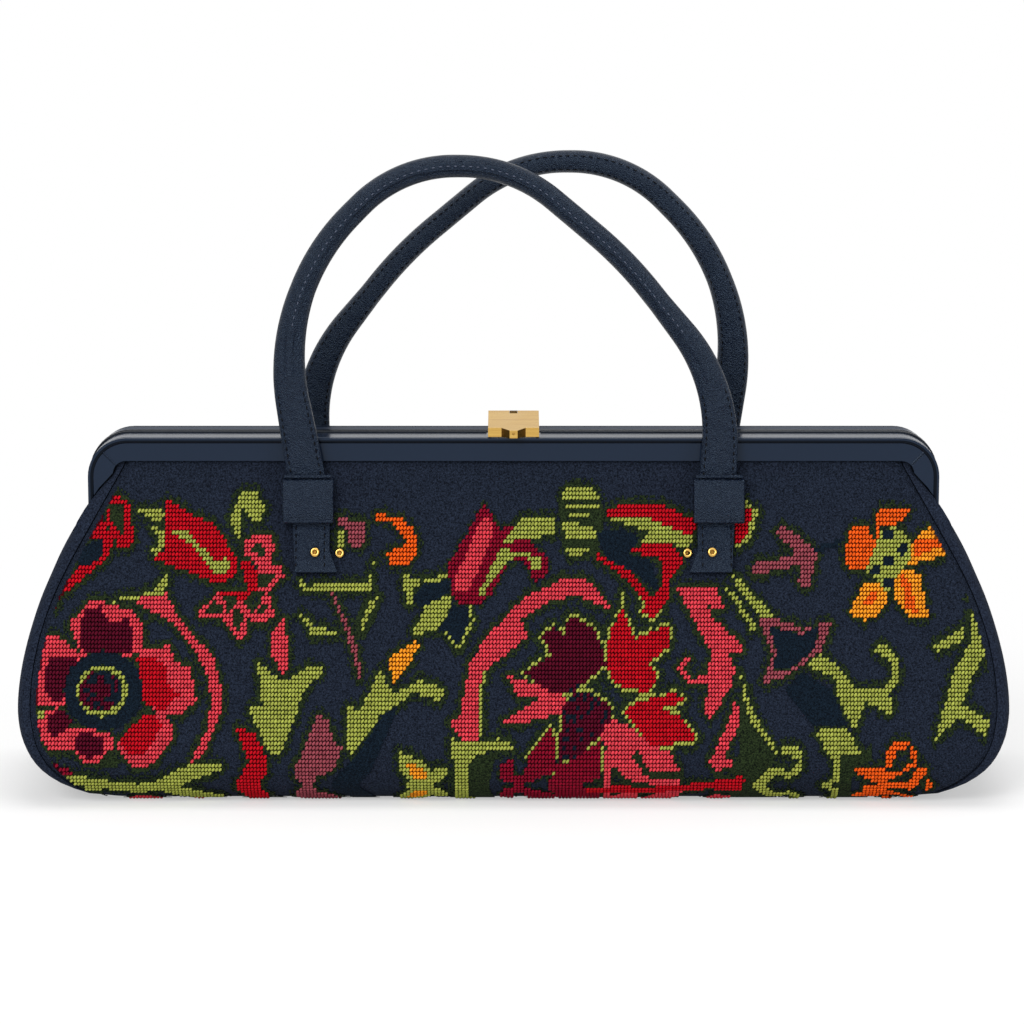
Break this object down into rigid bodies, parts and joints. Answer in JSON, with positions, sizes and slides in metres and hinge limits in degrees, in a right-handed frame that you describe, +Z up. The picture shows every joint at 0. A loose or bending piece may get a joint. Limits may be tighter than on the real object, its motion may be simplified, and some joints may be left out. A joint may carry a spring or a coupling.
{
  "type": "carpet bag",
  "caption": "Long frame handbag in navy carpet cloth with needlework flowers, an opening enamelled frame, a gilt flip clasp and leather strap handles.",
  "frame": {"origin": "middle of the base, on the surface that the bag stands on", "axes": "+X along the bag, to the right as seen from the front; +Y from front to back; +Z up"},
  "size_m": [0.3792, 0.0962, 0.243],
  "materials": {
    "carpet_ground": "felted navy wool",
    "gusset_cloth": "plain navy wool",
    "lining_cloth": "plain woven lining",
    "board": "grey-brown board",
    "enamel": "dark navy enamel",
    "pin_steel": "plain steel",
    "gilt_brass": "brushed gold plate",
    "strap_leather": "dark navy leather",
    "wool_scarlet": "wool needlework stitches",
    "wool_crimson": "wool needlework stitches",
    "wool_maroon": "wool needlework stitches",
    "wool_coral": "wool needlework stitches",
    "wool_lime": "wool needlework stitches",
    "wool_forest": "wool needlework stitches",
    "wool_teal": "wool needlework stitches",
    "wool_mauve": "wool needlework stitches",
    "wool_orange": "wool needlework stitches",
    "wool_amber": "wool needlework stitches"
  },
  "bodies": {
    "bag": {"carpet_cover": "carpet_ground", "gusset_left": "gusset_cloth", "gusset_right": "gusset_cloth", "lining": "lining_cloth", "base_board": "board", "pile_scarlet": "wool_scarlet", "pile_crimson": "wool_crimson", "pile_maroon": "wool_maroon", "pile_coral": "wool_coral", "pile_lime": "wool_lime", "pile_forest": "wool_forest", "pile_teal": "wool_teal", "pile_mauve": "wool_mauve", "pile_orange": "wool_orange", "pile_amber": "wool_amber"},
    "front_frame": {"front_frame_half": "enamel", "clasp_striker": "gilt_brass", "front_handle": "strap_leather", "keeper_front_left": "strap_leather", "keeper_front_right": "strap_leather", "front_rivets": "gilt_brass"},
    "rear_frame": {"rear_frame_half": "enamel", "clasp_bracket": "gilt_brass", "clasp_pin": "pin_steel", "hinge_pin_left": "pin_steel", "hinge_pin_right": "pin_steel", "rear_handle": "strap_leather", "keeper_rear_left": "strap_leather", "keeper_rear_right": "strap_leather", "rear_rivets": "gilt_brass"},
    "clasp": {"clasp_lever": "gilt_brass"}
  },
  "joints": [
    {"name": "front_frame_hinge", "type": "hinge", "parent": "bag", "child": "front_frame", "pos_m": [0, 0, 0.084], "axis": [1, 0, 0], "range_deg": [0, 45], "deforming": ["carpet_cover", "gusset_left", "gusset_right", "lining", "pile_scarlet", "pile_crimson", "pile_maroon", "pile_coral", "pile_lime", "pile_forest", "pile_teal", "pile_mauve", "pile_orange", "pile_amber"]},
    {"name": "rear_frame_hinge", "type": "hinge", "parent": "bag", "child": "rear_frame", "pos_m": [0, 0, 0.084], "axis": [1, 0, 0], "range_deg": [-45, 0], "deforming": ["carpet_cover", "gusset_left", "gusset_right", "lining", "pile_scarlet", "pile_crimson", "pile_maroon", "pile_coral", "pile_lime", "pile_forest", "pile_teal", "pile_mauve", "pile_orange", "pile_amber"]},
    {"name": "clasp_lift", "type": "hinge", "parent": "rear_frame", "child": "clasp", "pos_m": [0, 0.0065, 0.1419], "axis": [-1, 0, 0], "range_deg": [0, 75]}
  ],
  "couplings": [
    {"joint": "rear_frame_hinge", "follows": "front_frame_hinge", "ratio": -1}
  ]
}
